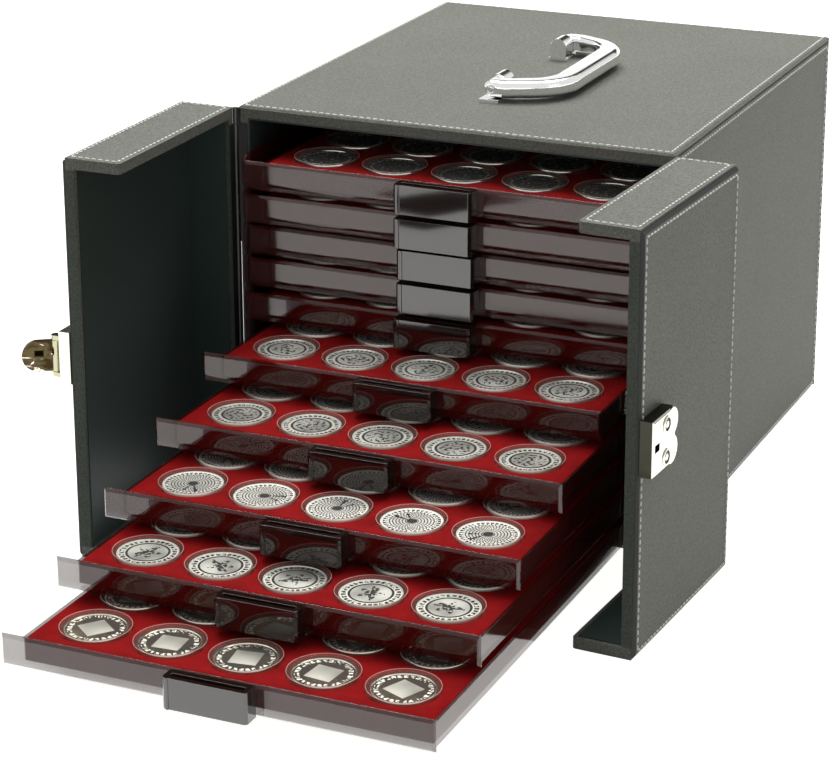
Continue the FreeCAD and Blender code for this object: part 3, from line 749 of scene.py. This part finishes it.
def marks(material, radius, angle, count, low, high, seed, missing=0.42):
    """A ring of small marks like signs, each made of a few strokes in its own cell."""
    signs = add_node(material, "ShaderNodeMath", {"operation": "MULTIPLY"}, {0: angle, 1: count})
    wave = add_node(material, "ShaderNodeMath", {"operation": "FRACT"}, {0: signs})
    strokes = add_node(material, "ShaderNodeMath", {"operation": "MULTIPLY"}, {0: angle, 1: count * 3})
    along = add_node(material, "ShaderNodeMath", {"operation": "FLOOR"}, {0: strokes})
    layers = add_node(material, "ShaderNodeMath", {"operation": "MULTIPLY"}, {0: radius, 1: 15.0})
    across = add_node(material, "ShaderNodeMath", {"operation": "FLOOR"}, {0: layers})
    cell = add_node(material, "ShaderNodeCombineXYZ", {}, {"X": along, "Y": across, "Z": seed})
    chance = add_node(material, "ShaderNodeTexWhiteNoise", {"noise_dimensions": "3D"}, {"Vector": cell})
    stroke = beyond(material, chance.outputs["Value"], missing)
    sign = within(material, stroke, between(material, wave, 0.1, 0.82))
    return within(material, sign, between(material, radius, low, high))


def square(material, place, half, degrees):
    """A turned square in the middle of the coin."""
    turn = math.radians(degrees)
    reaches = []
    for axis in ((math.cos(turn), math.sin(turn), 0), (-math.sin(turn), math.cos(turn), 0)):
        along = add_node(material, "ShaderNodeVectorMath", {"operation": "DOT_PRODUCT"},
                         {0: place, 1: axis})
        reaches.append(add_node(material, "ShaderNodeMath", {"operation": "ABSOLUTE"},
                                {0: along.outputs["Value"]}))
    return short_of(material, union(material, *reaches), half)


def petals(material, radius, angle, count, mean, swing, turn):
    """A leaf or flower whose edge swings in and out round the coin."""
    phase = add_node(material, "ShaderNodeMath", {"operation": "MULTIPLY_ADD"},
                     {0: angle, 1: 2 * math.pi * count, 2: turn})
    wave = add_node(material, "ShaderNodeMath", {"operation": "SINE"}, {0: phase})
    edge = add_node(material, "ShaderNodeMath", {"operation": "MULTIPLY_ADD"}, {0: wave, 1: swing, 2: mean})
    return short_of(material, radius, edge)


def ringed(material, radius, angle, rings, spokes):
    """Rings of short dashes, each ring turned by half a dash."""
    outward = add_node(material, "ShaderNodeMath", {"operation": "MULTIPLY"}, {0: radius, 1: rings})
    ring = add_node(material, "ShaderNodeMath", {"operation": "FLOOR"}, {0: outward})
    half_turn = add_node(material, "ShaderNodeMath", {"operation": "MULTIPLY"}, {0: ring, 1: 0.5})
    around = add_node(material, "ShaderNodeMath", {"operation": "MULTIPLY_ADD"},
                      {0: angle, 1: spokes, 2: half_turn})
    across_ring = add_node(material, "ShaderNodeMath", {"operation": "FRACT"}, {0: outward})
    along_dash = add_node(material, "ShaderNodeMath", {"operation": "FRACT"}, {0: around})
    return within(material, between(material, across_ring, 0.2, 0.86),
                  between(material, along_dash, 0.2, 0.9))


def relief(metal, design, place, radius, angle, grit):
    """The parts of one design that are frosted and raised."""
    if design == "square":
        legend = marks(metal, radius, angle, 27.0, 0.74, 0.89, 3.0)
        return union(metal, legend, square(metal, place, 0.44, 0))
    if design == "leaf":
        legend = marks(metal, radius, angle, 30.0, 0.77, 0.92, 5.0, 0.2)
        border = between(metal, radius, 0.64, 0.72)
        crown = petals(metal, radius, angle, 5.0, 0.31, 0.13, 0.6)
        figure = within(metal, crown, beyond(metal, grit, 0.46))
        axes = add_node(metal, "ShaderNodeSeparateXYZ", {}, {"Vector": place})
        wavering_y = add_node(metal, "ShaderNodeMath", {"operation": "MULTIPLY_ADD"},
                              {0: grit, 1: 0.2, 2: axes.outputs["Y"]})
        branch = within(metal, between(metal, wavering_y, 0.05, 0.11),
                        between(metal, axes.outputs["X"], -0.52, 0.52))
        return opposite(metal, union(metal, legend, border, figure, branch))
    if design == "sun":
        legend = marks(metal, radius, angle, 36.0, 0.82, 0.92, 7.0, 0.1)
        dashes = within(metal, ringed(metal, radius, angle, 10.0, 36.0), short_of(metal, radius, 0.8))
        wedge = within(metal, between(metal, angle, 0.73, 0.76), between(metal, radius, 0.1, 0.72))
        second = within(metal, between(metal, angle, 0.63, 0.65), between(metal, radius, 0.1, 0.6))
        hub = short_of(metal, radius, 0.17)
        open_part = opposite(metal, union(metal, wedge, second, hub))
        border = within(metal, beyond(metal, radius, 0.8), opposite(metal, legend))
        return union(metal, within(metal, dashes, open_part), border)
    if design == "dark":
        scatter = within(metal, beyond(metal, grit, 0.6), short_of(metal, radius, 0.6))
        return union(metal, marks(metal, radius, angle, 32.0, 0.76, 0.86, 13.0), scatter)
    if design == "shield":
        seed = 9.0
        outline = square(metal, place, 0.4, 8)
        scratch = beyond(metal, grit, 0.51)
    else:
        seed = 11.0
        outline = petals(metal, radius, angle, 12.0, 0.5, 0.05, 0.0)
        scratch = beyond(metal, grit, 0.53)
    legend = marks(metal, radius, angle, 32.0, 0.77, 0.92, seed, 0.2)
    border = between(metal, radius, 0.6, 0.68)
    return opposite(metal, union(metal, legend, border, within(metal, outline, scratch)))


def coin_metal(design, field, frost, darkest, lightest):
    """Silver with one design, whose frost is darker in some places than in others."""
    metal, shader = new_material("silver_%s_design" % design, Metallic=1.0)
    face = add_node(metal, "ShaderNodeTexCoord", {}, {})
    place = face.outputs["UV"]
    axes = add_node(metal, "ShaderNodeSeparateXYZ", {}, {"Vector": place})
    radius = add_node(metal, "ShaderNodeVectorMath", {"operation": "LENGTH"}, {0: place}).outputs["Value"]
    turn = add_node(metal, "ShaderNodeMath", {"operation": "ARCTAN2"},
                    {0: axes.outputs["Y"], 1: axes.outputs["X"]})
    whole_turns = add_node(metal, "ShaderNodeMath", {"operation": "DIVIDE"}, {0: turn, 1: 2 * math.pi})
    angle = add_node(metal, "ShaderNodeMath", {"operation": "ADD"}, {0: whole_turns, 1: 0.5})
    grain = add_node(metal, "ShaderNodeTexNoise", {}, {"Vector": place, "Scale": 7.0, "Detail": 5.0})
    raised = relief(metal, design, place, radius, angle, grain.outputs["Fac"])
    bright = union(metal, raised, beyond(metal, radius, 0.94))
    shade = add_node(metal, "ShaderNodeTexNoise", {}, {"Vector": place, "Scale": 1.1, "Detail": 0.0})
    shade_range = add_node(metal, "ShaderNodeMapRange", {},
                           {"Value": shade.outputs["Fac"], "From Min": 0.3, "From Max": 0.7,
                            "To Min": darkest, "To Max": lightest})
    shaded = add_node(metal, "ShaderNodeMix", {"data_type": "RGBA", "blend_type": "MULTIPLY"},
                      {"Factor": short_of(metal, radius, 0.7), 6: colour(frost), 7: shade_range})
    frost_colour = add_node(metal, "ShaderNodeMix", {"data_type": "RGBA"},
                            {"Factor": bright, 6: colour(field), 7: shaded.outputs[2]})
    rough = add_node(metal, "ShaderNodeMapRange", {}, {"Value": raised, "To Min": 0.16, "To Max": 0.5})
    height = add_node(metal, "ShaderNodeBump", {}, {"Strength": 0.6, "Distance": 0.0002, "Height": raised})
    link(metal, rough.outputs[0], shader.inputs["Roughness"])
    link(metal, frost_colour.outputs[2], shader.inputs["Base Color"])
    link(metal, height.outputs[0], shader.inputs["Normal"])
    return metal


coin_looks = {"square": ("#9a8464", "#f3f0e2", 0.32, 0.66), "leaf": ("#77736a", "#e2e2d8", 0.38, 0.9),
              "sun": ("#4f4e49", "#faf9f0", 0.85, 1.05), "rosette": ("#77756c", "#dcdcd2", 0.35, 0.75),
              "shield": ("#989a8f", "#f6f7ef", 0.75, 1.1), "dark": ("#9da19b", "#dcdfd8", 0.5, 0.95)}
coin_order = {"10": "square", "09": "leaf", "08": "sun", "07": "rosette", "06": "shield", "01": "dark"}
silver = {design: coin_metal(design, *look) for design, look in coin_looks.items()}
fine_coin = coin_blank("coin_fine", coin_profile, 48)
plain_coin = coin_blank("coin_plain", plain_coin_profile, 20)
square_turns = (51, 4, 8, -6, -24, 12, -15, 30, -32, 5)


def turned_coins(master, name, offset, turns):
    """Coins in the wells of the front rows, each turned by its own angle."""
    pieces = []
    for index, degrees in enumerate(turns):
        place = first_well + offset + Vector((index % well_columns * column_pitch,
                                              index // well_columns * row_pitch, 0))
        piece = copy_for(master, name, -first_well)
        piece.data.transform(Matrix.Translation(place) @ Matrix.Rotation(math.radians(degrees), 4, "Z"))
        pieces.append(piece)
    select_only(*pieces)
    bpy.ops.object.join()
    return added(name)


for number, drawer in enumerate(drawers):
    metal = silver[coin_order.get(drawer, "rosette")]
    offset = drawer_offset[drawer]
    turns = square_turns
    if drawer != "10":
        turns = [(31 * number + 73 * index) % 360 for index in range(front_rows * well_columns)]
    coins = turned_coins(fine_coin, "coins_front_" + drawer, offset, turns)
    finish_piece(coins, metal, "drawer_" + drawer)
    coins = in_wells(plain_coin, "coins_rear_" + drawer, offset, front_rows, well_rows - front_rows)
    finish_piece(coins, metal, "drawer_" + drawer)
for master in (fine_coin, plain_coin):
    bpy.data.objects.remove(master)

# Carrying handle.
# Die-cast zinc, chrome plated: a smooth bail with rounded arms that turns on pins in two feet.
# The polish is a little hazier in some patches than in others.
chrome, _ = new_material("bright_chrome_plate", Base_Color=colour("#f3f4f4"), Metallic=1.0)


def haze(material, size, smoothest, roughest):
    """Polish that varies a little over patches of one size."""
    place = add_node(material, "ShaderNodeTexCoord", {}, {})
    noise = add_node(material, "ShaderNodeTexNoise", {},
                     {"Vector": place.outputs["Object"], "Scale": 1 / size, "Detail": 3.0})
    rough = add_node(material, "ShaderNodeMapRange", {},
                     {"Value": noise.outputs["Fac"], "From Min": 0.3, "From Max": 0.7,
                      "To Min": smoothest, "To Max": roughest})
    link(material, rough.outputs[0], material.node_tree.nodes["Principled BSDF"].inputs["Roughness"])


haze(chrome, 0.02, 0.05, 0.11)
bail = copy_for(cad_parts["handle_bail"], "cast_bail", (0, 0, 0))
bail.parent = None
select_only(bail)
bpy.ops.object.mode_set(mode="EDIT")
bpy.ops.mesh.select_all(action="SELECT")
bpy.ops.mesh.remove_doubles(threshold=1e-6)
bpy.ops.object.mode_set(mode="OBJECT")
apply_modifier(bail, "REMESH", mode="VOXEL", voxel_size=0.0009)
apply_modifier(bail, "SMOOTH", factor=0.5, iterations=9)
select_only(bail)
bpy.ops.object.shade_smooth()
finish_piece(bail, chrome, "handle")
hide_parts("handle_bail")
dress("handle_feet", chrome)
soften("handle_feet", 0.0006, 2)

# Lock, hasp and keeper.
# Chrome-plated blocks on the doors' free edges, each held by two rivets whose sunk ring is painted black as
# painted shade. On the keeper, faces that point up, down, to the front or to the back are painted a dark
# bronze tone as painted reflection, and its outer face and rounded edges keep the buffed bright tone, so
# that the edges read as painted highlights.
plate_tone = colour("#b9b7ac")
bright_plate, _ = new_material("buffed_chrome", Base_Color=plate_tone, Metallic=1.0)
haze(bright_plate, 0.01, 0.08, 0.18)
warm_plate, warm_shader = variant(bright_plate, "buffed_brass_chrome")
warm_shader.inputs["Base Color"].default_value = colour("#94927a")
keeper_painted_reflection, keeper_painted_reflection_shader = variant(bright_plate, "chrome_with_painted_dark_reflection")
flank_place = add_node(keeper_painted_reflection, "ShaderNodeTexCoord", {}, {})
flank_axes = add_node(keeper_painted_reflection, "ShaderNodeSeparateXYZ", {}, {"Vector": flank_place.outputs["Normal"]})
upright = add_node(keeper_painted_reflection, "ShaderNodeMath", {"operation": "ABSOLUTE"}, {0: flank_axes.outputs["Z"]})
frontal = add_node(keeper_painted_reflection, "ShaderNodeMath", {"operation": "ABSOLUTE"}, {0: flank_axes.outputs["Y"]})
# Painted reflection: keeper faces that point up, down, to the front or to the back are painted dark, the
# rest keep the bright tone.
painted_dark_face_mask = beyond(keeper_painted_reflection, union(keeper_painted_reflection, upright, frontal), 0.93)
painted_dark_face_tone = add_node(keeper_painted_reflection, "ShaderNodeMix", {"data_type": "RGBA"},
                      {"Factor": painted_dark_face_mask, 6: plate_tone, 7: colour("#2d2d27")})
link(keeper_painted_reflection, painted_dark_face_tone.outputs[2], keeper_painted_reflection_shader.inputs["Base Color"])
# The hasp's tongue is a brown-tinted mirror whose streaks are painted reflection in dark browns and painted
# highlights in near white.
tongue, tongue_shader = new_material("brown_chrome_painted_streaks", Metallic=1.0, Roughness=0.1)
tongue_place = add_node(tongue, "ShaderNodeTexCoord", {}, {})
tongue_stretch = add_node(tongue, "ShaderNodeMapping", {},
                          {"Vector": tongue_place.outputs["Object"], "Rotation": (0.5, 0, 0),
                           "Scale": (1, 1, 2.2)})
tongue_painted_streaks = add_node(tongue, "ShaderNodeTexNoise", {},
                         {"Vector": tongue_stretch, "Scale": 1 / 0.011, "Detail": 2.0,
                          "Distortion": 1.2})
# Painted reflection and highlights: noise streaks run from dark browns to near white.
tongue_painted_reflection_tone = add_node(tongue, "ShaderNodeValToRGB", {}, {"Fac": tongue_painted_streaks.outputs["Fac"]},
                       ((0.4, colour("#2c2113")), (0.52, colour("#46402c")), (0.6, colour("#3a2a1a")),
                        (0.66, colour("#fbf4e6"))))
link(tongue, tongue_painted_reflection_tone.outputs["Color"], tongue_shader.inputs["Base Color"])
for node, material, width in (("lock_case", bright_plate, 0.0005), ("hasp", tongue, 0.0004),
                              ("keeper", keeper_painted_reflection, 0.0007)):
    dress(node, material, warm_plate)
    soften(node, width, 2)
ear_x = -0.1755
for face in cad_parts["lock_case"].data.polygons:
    face.material_index = 1 if face.center.x < ear_x else 0
knuckle_width = 0.0054
knuckle_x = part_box("hasp")[1].x - knuckle_width
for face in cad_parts["hasp"].data.polygons:
    face.material_index = 1 if face.center.x > knuckle_x else 0
rivet_profile = [(0.0046, -0.0002), (0.0046, 0.0003), (0.0041, 0.0007), (0.0036, 0.0007), (0.0033, 0.0001),
                 (0.0020, 0.0001), (0.0017, 0.0006), (0.0, 0.0006)]
rivet_painted_shade_ring = (0.0019, 0.0035)
rivet_x = 0.0175
rivet_heights = (0.1082, 0.1258)
lock_thickness = 0.0075
lock_face_y = door_face_y - lock_thickness
for body, mirror, degrees in doors:
    rivets = []
    for z in rivet_heights:
        rivet = lathe("rivet", Vector((0, 0, 0)), rivet_profile, 24)
        rivet.data.materials.append(bright_plate)
        rivet.data.materials.append(enamel)
        # Painted shade: the sunk ring of each rivet head takes the black enamel.
        for face in rivet.data.polygons:
            reach = face.center.xy.length
            face.material_index = 1 if rivet_painted_shade_ring[0] < reach < rivet_painted_shade_ring[1] else 0
        rivet.data.transform(opened(mirror, degrees) @ Matrix.Translation((rivet_x, lock_face_y, z))
                             @ Matrix.Rotation(math.radians(90), 4, "X"))
        if mirror < 0:
            rivet.data.flip_normals()
        rivets.append(rivet)
    select_only(*rivets)
    bpy.ops.object.join()
    pair_of_rivets = added(body + "_lock_rivets")
    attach(pair_of_rivets, body)
